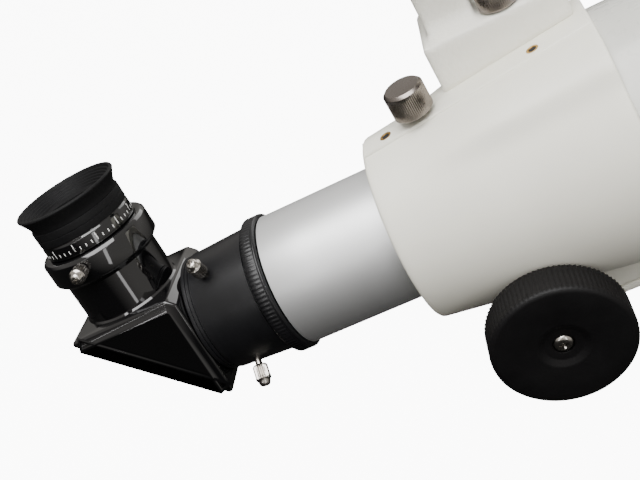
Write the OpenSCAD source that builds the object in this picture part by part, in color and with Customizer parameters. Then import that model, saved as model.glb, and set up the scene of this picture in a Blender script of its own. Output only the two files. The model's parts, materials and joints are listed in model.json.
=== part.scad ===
// Refracting telescope on an alt-azimuth yoke and a folding tripod.
// Length runs along X, height along Z. The tube is modelled level, in tube_frame(),
// and tilted as one; the legs are modelled upright, in leg_frame(), and splayed.

/* [Telescope] */
// Tilt of the telescope above level at rest, degrees
pitch = 28.4; // [20:0.1:40]
// Outside diameter of the main tube
tube_d = 80; // [78:0.5:80]
// Distance from the drawtube's end to the front of the main tube
tube_front = 560; // [480:5:600]
// Length of the dew shield
dew_len = 150; // [120:5:180]
// Outside diameter of the dew shield
dew_d = 96; // [94:1:100]
// Outside diameter of the drawtube
draw_d = 47.2; // [46.8:0.1:47.2]
// Length of the drawtube
draw_len = 150; // [130:5:160]
// How far the drawtube stands out of the focuser at rest
draw_out = 44.5; // [40:0.5:50]

/* [Focuser] */
// Diameter of the focuser's mouth
mouth_d = 65.2; // [64:0.2:68]
// Diameter of the focuser where it meets the main tube
rear_d = 84; // [83:0.5:88]
// Length of the focuser housing
housing_len = 80.5; // [78:0.5:90]
// Diameter of each focus knob
knob_d = 46; // [36:1:46]
// Number of teeth on the focusing pinion
pinion_teeth = 12; // [12:1:12]

/* [Diagonal and eyepiece] */
// Outside diameter of the eyepiece barrel, the common 1.25 inch size
barrel_d = 31.75; // [31.75]
// Turn of the diagonal about the drawtube's axis, degrees
diagonal_turn = 9.2; // [-20:0.1:20]
// Length of the diagonal's two square faces
prism_leg = 43.1; // [42:0.1:44]
// Width of the diagonal
prism_w = 41.6; // [40:0.1:44]

/* [Mount] */
// Height of the tilt axis above the ground
tilt_height = 720; // [716:1:740]
// Distance from the drawtube's end to the tilt axis, along the tube
tilt_from_end = 300; // [280:5:320]
// Distance from the tube's centre line down to the tilt axis
tilt_drop = 60; // [60:1:64]

/* [Tripod] */
// Height of the leg hinges above the ground
hinge_height = 585; // [580:1:590]
// Angle of each leg from upright, degrees
splay = 24; // [22:0.5:26]
// Distance of the leg hinges from the tripod's centre
hinge_r = 38; // [38:0.5:42]
// Distance of the tripod's centre from the middle of the whole length
tripod_x = 24; // [0:0.5:40]

/* [Hidden] */
$fn = 96;
run = 0.05;              // radial clearance of a shaft that turns or slides
eps = 0.01;

// Tube, along X from the drawtube's end
tube_r = tube_d / 2;
tube_wall = 1.2;
draw_r = draw_d / 2;
draw_bore_r = 22;
mouth_x = draw_out;
rear_x = mouth_x + housing_len;
mouth_r = mouth_d / 2;
rear_r = rear_d / 2;
tube_seat_x = rear_x - 13;
bearing_x = rear_x - 28;  // ring behind the pinion that guides the drawtube
bearing_len = 12;
dew_front = tube_front - 20 + dew_len;
dew_r = dew_d / 2;
dew_wall = 1.5;
cell_r = dew_r - dew_wall - 0.5;
cell_bore_r = 35;
lens_r = 36;
lens_x = tube_front + 2;

// Rack and pinion
gear_module = 1;
pinion_r = gear_module * pinion_teeth / 2;
pinion_x = 79;
pinion_z = -31.7;
rack_pitch_z = pinion_z + pinion_r;
rack_w = 8;
rack_from = 20;
rack_teeth = 40;
tooth_addendum = 0.65;
tooth_dedendum = 1.1;
tooth_half = 0.6;        // half thickness at the pitch line
pressure = 20;
shaft_r = 2.5;
box_from = 63;
box_to = 118;
box_half = 18.2;
box_bottom = -47.1;
cover_t = 3;
shaft_hole = 30;         // the shaft's hole, out past the flanks of the housing
knob_r = knob_d / 2;
knob_in = 35.8;          // knob's inner face, from the middle, clear of the housing
knob_boss_in = 28.5;
knob_edge = 1.5;
knob_out = 49.1;

// Top land and its screws
land_w = 8.5;
land_mouth_z = 33.5;
land_rear_z = 42.1;
lock_x = 66;
lock_head_r = 6.65;
lock_head_from = 38.2;
lock_head_to = 47.8;
lock_neck_l = 1.7;
tension_x = [54.1, 106.1];
function land_z(x) = land_mouth_z + (land_rear_z - land_mouth_z) * (x - mouth_x) / housing_len;

// Adapter and diagonal
barrel_r = barrel_d / 2;
face_x = -31.7;          // diagonal's face against the adapter
ring_x = -6;
ring_r = 25;
adapter_rear_r = 21.4;
adapter_front_r = 22.9;
eye_x = face_x - prism_leg / 2;
apex_e = 19.7;           // height of the diagonal's upper face above the axis
holder_r = 17.3;
collar_r = 20;
collar_from = 36;
collar_to = 45.5;
band_r = 16.8;
band_to = 50.7;
cup_from = 57.7;
cup_top = 63.1;
cup_r = 18.7;
eye_screw_e = 42;
clamp_shank_r = 1.25;
clamp_head_r = 2.75;
clamp_head_l = 7.6;
upper_screw = [-21.5, 22];   // place along the tube, turn from the top towards -Y
lower_screw = [-20.5, 130];

// Finder
finder_x = [76, 121.6];
finder_y = [6, 34];
finder_foot_top = 52.5;
finder_mid_y = 20;
finder_z = 104;
stalk_x = [79, 95];
stalk_half = 7;
stalk_fillet = 6;
finder_back = 56;
finder_len = 150;
finder_r = 14;
finder_ring_r = 22;
nut_x = 103;
nut_y = [12.5, 27.5];

// Mount
lug_half = 21.5;
arm_from = 21.9;
arm_to = 31;
arm_top_r = 13.5;
alt_shaft_r = 4;
yoke_base_z = hinge_height + 30.5;
yoke_base_t = 9;
azimuth_shaft_r = 9;
hub_r = 25;

// Legs, down along -Z from the hinge
head_half = 11;
rail_in = 5;
rail_out = 11;
rail_depth = 14;
rail_top = -12;
rail_bottom = -345;
clamp_from = -375;
clamp_to = -330;
lower_top = -35;
foot_top = -600;
leg_bolt_r = 3;
lock_z = -355;

// Spreader: each brace hangs on a pin behind its leg and meets the hub in the middle
brace_pin_z = -260;
brace_pin_x = -14;
brace_pin_r = 2;
brace_slope = 20;
brace_half = 4;
spreader_r = 24;         // distance of the braces' ends from the middle
pin_out = hinge_r - brace_pin_z * sin(splay) + brace_pin_x * cos(splay);
pin_down = brace_pin_z * cos(splay) + brace_pin_x * sin(splay);
brace_len = (pin_out - spreader_r) / cos(brace_slope);
spreader_z = hinge_height + pin_down + brace_len * sin(brace_slope);

// Frames ------------------------------------------------------------------

// The level telescope, tilted about its axis on the yoke
module tube_frame() {
    translate([tripod_x, 0, tilt_height])
        rotate([0, -pitch, 0])
            translate([-tilt_from_end, 0, tilt_drop])
                children();
}

// Upright on the diagonal: Z runs up the eyepiece
module eye_frame() {
    tube_frame()
        rotate([-diagonal_turn, 0, 0])
            translate([eye_x, 0, 0])
                children();
}

// One leg, hanging straight down from its hinge
module leg_frame(i) {
    translate([tripod_x, 0, hinge_height])
        rotate([0, 0, 120 * (i - 1)])
            translate([hinge_r, 0, 0])
                rotate([0, -splay, 0])
                    children();
}

// Turned solid along X: outline points are [x, radius]
module turned(outline) {
    rotate([90, 0, 90])
        rotate_extrude()
            polygon([for (p = outline) [p[1], p[0]]]);
}

// Plain cylinder along X or along Y between two places
module along_x(x0, x1, r) {
    translate([x0, 0, 0])
        rotate([0, 90, 0])
            cylinder(r = r, h = x1 - x0);
}

module along_y(y0, y1, r) {
    translate([0, y1, 0])
        rotate([90, 0, 0])
            cylinder(r = r, h = y1 - y0);
}

// Box between two corners
module block(a, b) {
    translate(a)
        cube(b - a);
}

// Thumbscrew along Z: shank below zero, knurled head and domed end above
module thumbscrew(shank_r, shank_l, neck_l, head_r, head_l) {
    translate([0, 0, -shank_l])
        cylinder(r = shank_r, h = shank_l + neck_l + eps);
    translate([0, 0, neck_l])
        rotate_extrude()
            polygon([
                [0, 0], [head_r - 0.5, 0], [head_r, 0.5],
                [head_r, head_l - 1.5], [head_r - 1.2, head_l], [0, head_l]
            ]);
}

// Optical tube ------------------------------------------------------------

module main_tube() color("gainsboro") tube_frame()
    difference() {
        along_x(tube_seat_x, tube_front, tube_r);
        along_x(tube_seat_x - 1, tube_front + 1, tube_r - tube_wall);
        // holes for the two saddle screws
        for (x = [-30, 30])
            translate([tilt_from_end + x, 0, -tube_r - 1])
                cylinder(r = 2, h = 4);
    }

// The cell's own seat is a little tighter than the open bore in front of it
module dew_shield() color("gainsboro") tube_frame()
    difference() {
        along_x(tube_front - 20, dew_front, dew_r);
        along_x(tube_front - 21, tube_front + 19, cell_r);
        along_x(tube_front + 18, dew_front + 1, dew_r - dew_wall);
    }

module objective_cell() color("dimgray") tube_frame()
    turned([
        [tube_front - 16, tube_r], [tube_front, tube_r], [tube_front, cell_bore_r],
        [lens_x, cell_bore_r], [lens_x, lens_r], [tube_front + 16, lens_r],
        [tube_front + 18, lens_r + 2], [tube_front + 18, cell_r], [tube_front - 16, cell_r]
    ]);

// Cemented pair: crown in front, flint behind
module objective_lenses() color("lightcyan") tube_frame() {
    turned([[lens_x, 0], [lens_x, lens_r], [lens_x + 4, lens_r], [lens_x + 3, 20], [lens_x + 2.6, 0]]);
    turned([
        [lens_x + 2.63, 0], [lens_x + 3.03, 20], [lens_x + 4.03, lens_r],
        [lens_x + 8, lens_r], [lens_x + 10, 20], [lens_x + 10.8, 0]
    ]);
}

// Focuser -----------------------------------------------------------------

module housing_skin(grow) {
    turned([
        [mouth_x - grow, 0], [mouth_x - grow, mouth_r - 1.2 + grow], [mouth_x + 1.2, mouth_r + grow],
        [rear_x - 0.8, rear_r + grow], [rear_x, rear_r - 0.8 + grow], [rear_x, 0]
    ]);
}

module focuser_housing() color("whitesmoke") tube_frame()
    difference() {
        union() {
            housing_skin(0);
            // flat land that carries the lock and tension screws
            translate([0, land_w / 2, 0])
                rotate([90, 0, 0])
                    linear_extrude(land_w)
                        polygon([
                            [mouth_x + 0.6, 28], [mouth_x + 0.6, land_mouth_z],
                            [rear_x - 1, land_rear_z], [rear_x - 1, 28]
                        ]);
            // box that carries the pinion
            block([box_from, -box_half, box_bottom + cover_t], [box_to, box_half, -20]);
        }
        // front bearing, clear space behind it, and the main tube's seat
        turned([
            [mouth_x - 1, 0], [mouth_x - 1, draw_r + 1.4],
            [mouth_x + 0.4, draw_r + run], [60, draw_r + run],
            [62, 27], [72, 30], [bearing_x - 2, 31], [bearing_x, draw_r + run],
            [bearing_x + bearing_len, draw_r + run], [bearing_x + bearing_len + 1, tube_r - 3],
            [tube_seat_x, tube_r - 3], [tube_seat_x, tube_r], [rear_x + 1, tube_r], [rear_x + 1, 0]
        ]);
        // channel for the rack and pocket for the pinion
        block([mouth_x - 1, -5, rack_pitch_z - 2.2], [rear_x + 1, 5, 0]);
        block([pinion_x - 9, -7, box_bottom], [pinion_x + 9, 7, -20]);
        translate([pinion_x, 0, pinion_z])
            along_y(-shaft_hole, shaft_hole, shaft_r + run);
        // holes for the lock screw, the tension screws and the finder's studs
        translate([lock_x, 0, 20])
            cylinder(r = 2 + run, h = 30);
        for (x = tension_x)
            translate([x, 0, 20])
                cylinder(r = 2, h = 30);
        for (y = nut_y)
            translate([nut_x, y, 20])
                cylinder(r = 2, h = 40);
        for (x = [box_from + 6, box_to - 8], y = [-13, 13])
            translate([x, y, box_bottom])
                cylinder(r = 1.5, h = 6.5);
    }

module pinion_cover() color("whitesmoke") tube_frame()
    difference() {
        block([box_from, -box_half, box_bottom], [box_to, box_half, box_bottom + cover_t]);
        for (x = [box_from + 6, box_to - 8], y = [-13, 13])
            translate([x, y, box_bottom - 1])
                cylinder(r = 1.5, h = 10);
    }

// Four screws under the pinion box and two that hold the tube to its saddle
module tube_screws() color("silver") tube_frame() {
    for (x = [box_from + 6, box_to - 8], y = [-13, 13])
        translate([x, y, box_bottom]) {
            cylinder(r = 1.5, h = 6);
            translate([0, 0, -1.6])
                cylinder(r = 2.8, h = 1.6);
        }
    for (x = [-30, 30])
        translate([tilt_from_end + x, 0, -tube_r]) {
            translate([0, 0, -4.5])
                cylinder(r = 2, h = 6);
            translate([0, 0, tube_wall + 0.3])
                cylinder(r = 3.8, h = 2.4);
            translate([0, 0, -6.8])
                cylinder(r = 3.8, h = 2.4);
        }
}

module drawtube() color("silver") tube_frame()
    difference() {
        along_x(0, draw_len, draw_r);
        along_x(-1, draw_len + 1, draw_bore_r);
    }

// Straight rack: flat-sided teeth at the pinion's pitch
module drawtube_rack() color("silver") tube_frame() {
    step = PI * gear_module;
    slope = tan(pressure);
    tip = tooth_half - tooth_addendum * slope;
    root = tooth_half + tooth_dedendum * slope;
    seat = -sqrt(draw_r * draw_r - rack_w * rack_w / 4);
    first = pinion_x - step * (floor((pinion_x - rack_from) / step) + 0.5);
    flank = [-root, -tip, tip, root];
    height = [tooth_dedendum, -tooth_addendum, -tooth_addendum, tooth_dedendum];
    difference() {
        translate([0, rack_w / 2, 0])
            rotate([90, 0, 0])
                linear_extrude(rack_w)
                    polygon(concat(
                        [[first - step / 2, seat + 1]],
                        [for (i = [0 : rack_teeth - 1], k = [0 : 3])
                            [first + i * step + flank[k], rack_pitch_z + height[k]]],
                        [[first + (rack_teeth - 0.5) * step, seat + 1]]
                    ));
        along_x(-1, draw_len + 20, draw_r);
    }
}

// Involute flank of the pinion, as turn and radius
base_r = pinion_r * cos(pressure);
function unwind(r) = sqrt(max(0, r * r / (base_r * base_r) - 1)) * 180 / PI - acos(min(1, base_r / r));
function half_turn(r) = tooth_half / pinion_r * 180 / PI + unwind(pinion_r) - unwind(max(r, base_r));
pinion_root_r = pinion_r - tooth_dedendum;
pinion_tip_r = pinion_r + tooth_addendum;
pinion_radii = [pinion_root_r, base_r, pinion_r - 0.1, pinion_r + 0.3, pinion_tip_r];

module pinion_shaft() color("silver") tube_frame()
    translate([pinion_x, 0, pinion_z]) {
        along_y(-knob_out + 4, knob_out - 4, shaft_r);
        rotate([90, 0, 0])
            translate([0, 0, -5])
                linear_extrude(10)
                    polygon([for (i = [0 : pinion_teeth - 1], side = [0, 1], k = [0 : 4])
                        let (r = pinion_radii[side == 0 ? k : 4 - k],
                             a = 90 + i * 360 / pinion_teeth + (side == 0 ? -half_turn(r) : half_turn(r)))
                        [r * cos(a), r * sin(a)]
                    ]);
    }

module focus_knob(side) color([0.09, 0.08, 0.1]) tube_frame()
    translate([pinion_x, 0, pinion_z])
        rotate([90 * side, 0, 0])
            difference() {
                rotate_extrude()
                    polygon([
                        [0, knob_boss_in], [7, knob_boss_in], [7, knob_in],
                        [knob_r - knob_edge, knob_in], [knob_r, knob_in + knob_edge],
                        [knob_r, knob_out - 2], [knob_r - 2, knob_out], [8, knob_out - 0.6],
                        [6, knob_out - 1.6], [0, knob_out - 1.6]
                    ]);
                cylinder(r = shaft_r, h = knob_out - 4);
                cylinder(r = 1.5, h = 60);
                translate([0, 0, knob_out - 3])
                    cylinder(r = 3.4, h = 5);
            }

module focus_knob_near() focus_knob(1);
module focus_knob_far() focus_knob(-1);

module knob_screws() color("silver") tube_frame()
    translate([pinion_x, 0, pinion_z])
        for (side = [1, -1])
            rotate([90 * side, 0, 0]) {
                translate([0, 0, knob_out - 4 + eps])
                    cylinder(r = 1.45, h = 1.5);
                translate([0, 0, knob_out - 3 + eps])
                    cylinder(r = 3.2, h = 1.6);
            }

module lock_screw() color("silver") tube_frame()
    translate([lock_x, 0, lock_head_from]) {
        translate([0, 0, draw_r + 0.6 - lock_head_from])
            cylinder(r = 2, h = lock_head_from - draw_r);
        translate([0, 0, -lock_neck_l])
            cylinder(r = 3.6, h = lock_neck_l + eps);
        rotate_extrude()
            polygon([
                [0, 0], [lock_head_r - 0.6, 0], [lock_head_r, 0.6],
                [lock_head_r, lock_head_to - lock_head_from - 1.2],
                [lock_head_r - 1.2, lock_head_to - lock_head_from], [0, lock_head_to - lock_head_from]
            ]);
    }

module tension_screws() color("gold") tube_frame()
    for (x = tension_x)
        translate([x, 0, draw_r + 0.6])
            difference() {
                cylinder(r = 2, h = land_z(x) - draw_r - 1);
                translate([0, 0, land_z(x) - draw_r - 3])
                    cylinder(r = 1.3, h = 6);
            }

// Adapter and diagonal ----------------------------------------------------

module adapter_screw_at(place) {
    rotate([place[1], 0, 0])
        translate([place[0], 0, 22.6])
            children();
}

module adapter_body() color([0.12, 0.12, 0.13]) tube_frame()
    difference() {
        turned([
            [face_x + 0.3, barrel_r + run], [face_x + 0.3, adapter_rear_r - 0.6],
            [face_x + 0.9, adapter_rear_r], [face_x + 3, adapter_rear_r],
            [face_x + 3.4, adapter_rear_r + 0.5],
            [ring_x, adapter_front_r], [ring_x, draw_bore_r], [10, draw_bore_r],
            [10, 20], [0, 20], [-4, barrel_r + run]
        ]);
        for (place = [upper_screw, lower_screw])
            adapter_screw_at(place)
                translate([0, 0, -12])
                    cylinder(r = clamp_shank_r + run, h = 14);
    }

module adapter_ring() color([0.1, 0.1, 0.11]) tube_frame()
    turned([
        [ring_x, draw_bore_r], [ring_x, ring_r - 0.5], [ring_x + 0.5, ring_r],
        [-0.9, ring_r], [-0.4, ring_r - 0.5], [-0.4, draw_bore_r]
    ]);

module adapter_screw_upper() color("silver") tube_frame()
    adapter_screw_at(upper_screw)
        thumbscrew(clamp_shank_r, 6, 1, clamp_head_r, clamp_head_l);

module adapter_screw_lower() color("silver") tube_frame()
    adapter_screw_at(lower_screw)
        thumbscrew(clamp_shank_r, 6, 1.6, clamp_head_r, clamp_head_l);

// Side outline of the diagonal, right angle at the top front, cut back a little
module diagonal_outline(inset) {
    lo = -prism_leg / 2 + inset;
    hi = prism_leg / 2 - inset;
    cut = 3;
    back = inset * sqrt(2);
    blunt = 2.4;             // the sharp corners are cut off by this much
    slant = blunt / sqrt(2);
    polygon([
        [hi - slant, lo + back + slant], [hi, lo + back + blunt], [hi, hi - cut],
        [hi - cut, hi], [lo + back + blunt, hi], [lo + back + slant, hi - slant]
    ]);
}

module diagonal_slab(inset, half) {
    translate([0, half, apex_e - prism_leg / 2])
        rotate([90, 0, 0])
            linear_extrude(2 * half)
                diagonal_outline(inset);
}

module diagonal_housing() color([0.05, 0.05, 0.06]) eye_frame()
    difference() {
        diagonal_slab(0, prism_w / 2);
        diagonal_slab(3, prism_w / 2 - 3);
        along_x(0, prism_leg, barrel_r);
        cylinder(r = holder_r - 2, h = 60);
    }

module diagonal_prism() color("lightblue") eye_frame()
    diagonal_slab(3.2, prism_w / 2 - 3.2);

module diagonal_barrel() color("silver") tube_frame()
    difference() {
        along_x(face_x - 2.8, -5, barrel_r);
        along_x(face_x - 4, 0, barrel_r - 1.5);
    }

module eyepiece_holder() color([0.05, 0.05, 0.06]) eye_frame()
    difference() {
        rotate_extrude()
            polygon([
                [barrel_r + run, apex_e], [holder_r, apex_e], [holder_r, collar_from - 1.6],
                [collar_r - 0.8, collar_from], [collar_r, collar_from + 0.6],
                [collar_r, collar_to - 0.8], [collar_r - 0.8, collar_to], [barrel_r + run, collar_to]
            ]);
        translate([0, 0, eye_screw_e])
            rotate([90, 0, 0])
                cylinder(r = clamp_shank_r + run, h = 25);
    }

module eyepiece_screw() color("silver") eye_frame()
    translate([0, -collar_r, eye_screw_e])
        rotate([90, 0, 0])
            thumbscrew(clamp_shank_r, 3.6, 0.4, clamp_head_r, clamp_head_l);

// Eyepiece ----------------------------------------------------------------

module eyepiece_barrel() color("silver") eye_frame()
    difference() {
        translate([0, 0, apex_e + 4])
            cylinder(r = barrel_r, h = collar_to - apex_e - 4);
        translate([0, 0, apex_e + 3])
            cylinder(r = barrel_r - 1.6, h = collar_to - apex_e);
    }

module eyepiece_body() color([0.1, 0.1, 0.11]) eye_frame()
    rotate_extrude()
        polygon([
            [11, collar_to + 0.1], [band_r, collar_to + 0.1], [band_r, band_to],
            [band_r - 0.4, band_to + 0.3], [16.4, band_to + 1], [16.4, cup_from - 1.4], [11, cup_from - 1.4]
        ]);

module eyepiece_lenses() color("lightcyan") eye_frame() {
    translate([0, 0, collar_to + 4])
        cylinder(r = 11, h = 5);
    translate([0, 0, apex_e + 12])
        cylinder(r = barrel_r - 1.6, h = 4);
}

module eyecup() color([0.13, 0.13, 0.14]) eye_frame()
    rotate_extrude()
        polygon([
            [12, cup_from - 1.4], [16.4, cup_from - 1.4], [16.3, cup_from],
            [16.8, cup_from + 1.2], [cup_r, cup_top - 0.6], [cup_r - 0.3, cup_top],
            [cup_r - 1.3, cup_top], [15.4, cup_from + 1], [12, cup_from]
        ]);

// Finder ------------------------------------------------------------------

module finder_bracket() color("whitesmoke") tube_frame()
    difference() {
        union() {
            block([finder_x[0], finder_y[0], 15], [finder_x[1], finder_y[1], finder_foot_top]);
            block([stalk_x[0], finder_mid_y - stalk_half, finder_foot_top - 1],
                  [stalk_x[1], finder_mid_y + stalk_half, finder_z]);
            translate([0, finder_mid_y, finder_z])
                along_x(stalk_x[0], stalk_x[1], finder_ring_r);
            // hollow curve where the stalk meets the foot, on both sides
            difference() {
                spread = stalk_half + stalk_fillet;
                block([stalk_x[0], finder_mid_y - spread, finder_foot_top - 1],
                      [stalk_x[1], finder_mid_y + spread, finder_foot_top + stalk_fillet]);
                for (side = [-1, 1])
                    translate([0, finder_mid_y + side * spread, finder_foot_top + stalk_fillet])
                        along_x(stalk_x[0] - 1, stalk_x[1] + 1, stalk_fillet);
            }
        }
        housing_skin(0.02);
        translate([0, finder_mid_y, finder_z]) {
            along_x(0, 200, finder_ring_r - 4);
            for (a = [0, 120, 240])
                rotate([a, 0, 0])
                    translate([(stalk_x[0] + stalk_x[1]) / 2, 0, finder_ring_r - 6])
                        cylinder(r = 1.5 + run, h = 12);
        }
        for (y = nut_y)
            translate([nut_x, y, 20])
                cylinder(r = 2, h = 40);
    }

// Two studs out of the focuser with a round thumb nut on each
module finder_nuts() color("silver") tube_frame()
    for (y = nut_y)
        translate([nut_x, y, 0]) {
            translate([0, 0, 31])
                cylinder(r = 2, h = finder_foot_top - 30);
            translate([0, 0, finder_foot_top])
                rotate_extrude()
                    polygon([[2, 0], [5.5, 0], [6.7, 1.2], [6.7, 9], [5.7, 10], [0, 10], [0, 1.5], [2, 1.5]]);
        }

module finder_tube() color([0.1, 0.1, 0.11]) tube_frame()
    translate([0, finder_mid_y, finder_z])
        turned([
            [finder_back, 6], [finder_back, 12], [finder_back + 8, 12.5], [finder_back + 10, 10],
            [finder_back + 16, 10], [finder_back + 18, finder_r - 1],
            [finder_back + finder_len - 34, finder_r - 1], [finder_back + finder_len - 22, 18],
            [finder_back + finder_len, 18], [finder_back + finder_len, 16],
            [finder_back + finder_len - 22, 16], [finder_back + finder_len - 34, finder_r - 3],
            [finder_back + 18, finder_r - 3], [finder_back + 8, 6]
        ]);

module finder_lenses() color("lightcyan") tube_frame()
    translate([0, finder_mid_y, finder_z]) {
        along_x(finder_back + 1, finder_back + 4, 6);
        along_x(finder_back + finder_len - 12, finder_back + finder_len - 7, 16);
    }

module finder_screws() color("silver") tube_frame()
    translate([0, finder_mid_y, finder_z])
        for (a = [0, 120, 240])
            rotate([a, 0, 0])
                translate([(stalk_x[0] + stalk_x[1]) / 2, 0, finder_ring_r + 0.5])
                    thumbscrew(1.5, finder_ring_r - finder_r + 1.5, 0, 4, 6);

// Saddle and yoke ---------------------------------------------------------

module tube_saddle() color([0.14, 0.14, 0.15]) tube_frame()
    difference() {
        union() {
            block([tilt_from_end - 45, -26, -44], [tilt_from_end + 45, 26, -26]);
            block([tilt_from_end - 15, -lug_half, -tilt_drop], [tilt_from_end + 15, lug_half, -43]);
            translate([tilt_from_end, 0, -tilt_drop])
                along_y(-lug_half, lug_half, 15);
        }
        along_x(tilt_from_end - 50, tilt_from_end + 50, tube_r);
        translate([tilt_from_end, 0, -tilt_drop])
            along_y(-lug_half - 1, lug_half + 1, alt_shaft_r);
        for (x = [-30, 30])
            translate([tilt_from_end + x, 0, -50])
                cylinder(r = 2, h = 20);
    }

module altitude_shaft() color("silver") tube_frame()
    translate([tilt_from_end, 0, -tilt_drop])
        along_y(-43, 43, alt_shaft_r);

// Lobed clamp knob on the end of the tilt shaft
module altitude_knob(side) color([0.1, 0.1, 0.11]) tube_frame()
    translate([tilt_from_end, 0, -tilt_drop])
        rotate([90 * side, 0, 0])
            difference() {
                union() {
                    translate([0, 0, arm_to + 0.3])
                        cylinder(r = 11, h = 4);
                    translate([0, 0, arm_to + 3.3])
                        cylinder(r = 15, h = 13);
                    for (a = [0 : 60 : 300])
                        rotate([0, 0, a])
                            translate([13, 0, arm_to + 4.3])
                                cylinder(r = 5, h = 11, $fn = 32);
                }
                cylinder(r = alt_shaft_r + run, h = 43.5);
            }

module altitude_knob_near() altitude_knob(1);
module altitude_knob_far() altitude_knob(-1);

module yoke() color([0.14, 0.14, 0.15]) translate([tripod_x, 0, 0])
    difference() {
        union() {
            translate([0, 0, yoke_base_z])
                cylinder(r = 33, h = yoke_base_t);
            for (side = [-1, 1]) {
                translate([0, side > 0 ? arm_to : -arm_from, 0])
                    rotate([90, 0, 0])
                        linear_extrude(arm_to - arm_from)
                            polygon([
                                [-20, yoke_base_z + 1], [20, yoke_base_z + 1],
                                [arm_top_r, tilt_height], [-arm_top_r, tilt_height]
                            ]);
                translate([0, 0, tilt_height])
                    along_y(side > 0 ? arm_from : -arm_to, side > 0 ? arm_to : -arm_from, arm_top_r);
            }
            translate([0, 0, yoke_base_z - 52])
                cylinder(r = azimuth_shaft_r, h = 53);
        }
        translate([0, 0, tilt_height])
            along_y(-arm_to - 1, arm_to + 1, alt_shaft_r + run);
    }

// Tripod ------------------------------------------------------------------

module tripod_hub() color([0.14, 0.14, 0.15]) translate([tripod_x, 0, hinge_height])
    difference() {
        union() {
            translate([0, 0, -30])
                cylinder(r = hub_r, h = 60);
            for (i = [0 : 2], side = [-1, 1])
                rotate([0, 0, 120 * i])
                    block([18, side > 0 ? head_half + 0.3 : -head_half - 6.3, -11],
                          [46, side > 0 ? head_half + 6.3 : -head_half - 0.3, 11]);
        }
        translate([0, 0, -22])
            cylinder(r = azimuth_shaft_r + run, h = 60);
        for (i = [0 : 2])
            rotate([0, 0, 120 * i])
                translate([hinge_r, 0, 0])
                    along_y(-20, 20, leg_bolt_r);
        // hole for the azimuth knob's stud
        rotate([0, 0, -60])
            translate([0, 0, 18])
                along_x(5, 30, 3 + run);
    }

module hinge_bolts() color("silver") translate([tripod_x, 0, hinge_height])
    for (i = [0 : 2])
        rotate([0, 0, 120 * i])
            translate([hinge_r, 0, 0]) {
                along_y(-17.3, 17.3, leg_bolt_r);
                along_y(-20.3, -17.3, 5.5);
                along_y(17.3, 20.3, 5.5);
            }

module azimuth_knob() color([0.1, 0.1, 0.11]) translate([tripod_x, 0, hinge_height])
    rotate([0, 0, -60])
        translate([0, 0, 18]) {
            along_x(azimuth_shaft_r + 0.3, 30, 3);
            along_x(28, 33, 7);
            along_x(33, 44, 11.5);
        }

module leg_rails(i) color("silver") leg_frame(i)
    for (side = [-1, 1])
        block([-rail_depth / 2, side > 0 ? rail_in : -rail_out, rail_bottom],
              [rail_depth / 2, side > 0 ? rail_out : -rail_in, rail_top]);

// Hinge head, clamp at the lower end and clip for the brace
module leg_fittings(i) color([0.12, 0.12, 0.13]) leg_frame(i)
    difference() {
        union() {
            along_y(-head_half, head_half, 10.5);
            block([-8.5, -head_half, -30], [8.5, head_half, -2]);
            block([-12, -15, clamp_from], [12, 15, clamp_to]);
            block([-9.5, -13, brace_pin_z - 12], [9.5, 13, brace_pin_z + 12]);
            for (side = [-1, 1])
                block([brace_pin_x - 5, side > 0 ? 3.4 : -8.4, brace_pin_z - 8],
                      [-8, side > 0 ? 8.4 : -3.4, brace_pin_z + 8]);
            translate([brace_pin_x, 0, brace_pin_z])
                along_y(-5, 5, brace_pin_r);
        }
        along_y(-head_half - 1, head_half + 1, leg_bolt_r + run);
        for (side = [-1, 1])
            block([-rail_depth / 2, side > 0 ? rail_in : -rail_out, rail_bottom],
                  [rail_depth / 2, side > 0 ? rail_out : -rail_in, rail_top]);
        block([-7, -rail_in, clamp_from - 1], [7, rail_in, -30]);
        translate([0, 0, lock_z])
            along_x(6, 13, 2.5 + run);
    }

module leg_lower(i) color("silver") leg_frame(i)
    block([-6.6, -4.6, foot_top - 20], [6.6, 4.6, lower_top]);

// Rubber boot, cut flat where it stands on the ground
module leg_foot(i) color([0.1, 0.1, 0.1])
    difference() {
        leg_frame(i)
            difference() {
                translate([0, 0, -660])
                    cylinder(r = 13, h = 660 + foot_top);
                block([-6.6, -4.6, foot_top - 20], [6.6, 4.6, foot_top + 1]);
            }
        translate([-500, -500, -100])
            cube([1000, 1000, 100]);
    }

module leg_knob(i) color([0.1, 0.1, 0.11]) leg_frame(i)
    translate([0, 0, lock_z]) {
        along_x(7.1, 14, 2.5);
        along_x(12.4, 16, 6);
        along_x(16, 26, 10);
    }

// Flat bar from the clip behind the leg to the spreader hub
module brace(i) color("silver")
    translate([tripod_x, 0, hinge_height])
        rotate([0, 0, 120 * (i - 1)])
            translate([pin_out, 0, pin_down])
                rotate([0, brace_slope, 0])
                    difference() {
                        union() {
                            block([-brace_len, -3, -brace_half], [0, 3, brace_half]);
                            along_y(-3, 3, brace_half);
                            translate([-brace_len, 0, 0])
                                along_y(-3, 3, brace_half);
                        }
                        along_y(-4, 4, brace_pin_r + run);
                        translate([-brace_len, 0, 0])
                            along_y(-4, 4, brace_pin_r);
                    }

// Slotted puck that the three braces' ends sit in
module spreader_hub() color([0.12, 0.12, 0.13]) translate([tripod_x, 0, spreader_z])
    difference() {
        translate([0, 0, -8])
            cylinder(r = 32, h = 15);
        for (i = [0 : 2])
            rotate([0, 0, 120 * i]) {
                block([10, -3.6, -4.8], [40, 3.6, 10]);
                block([18, -3.6, -10], [40, 3.6, 10]);
            }
    }

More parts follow.
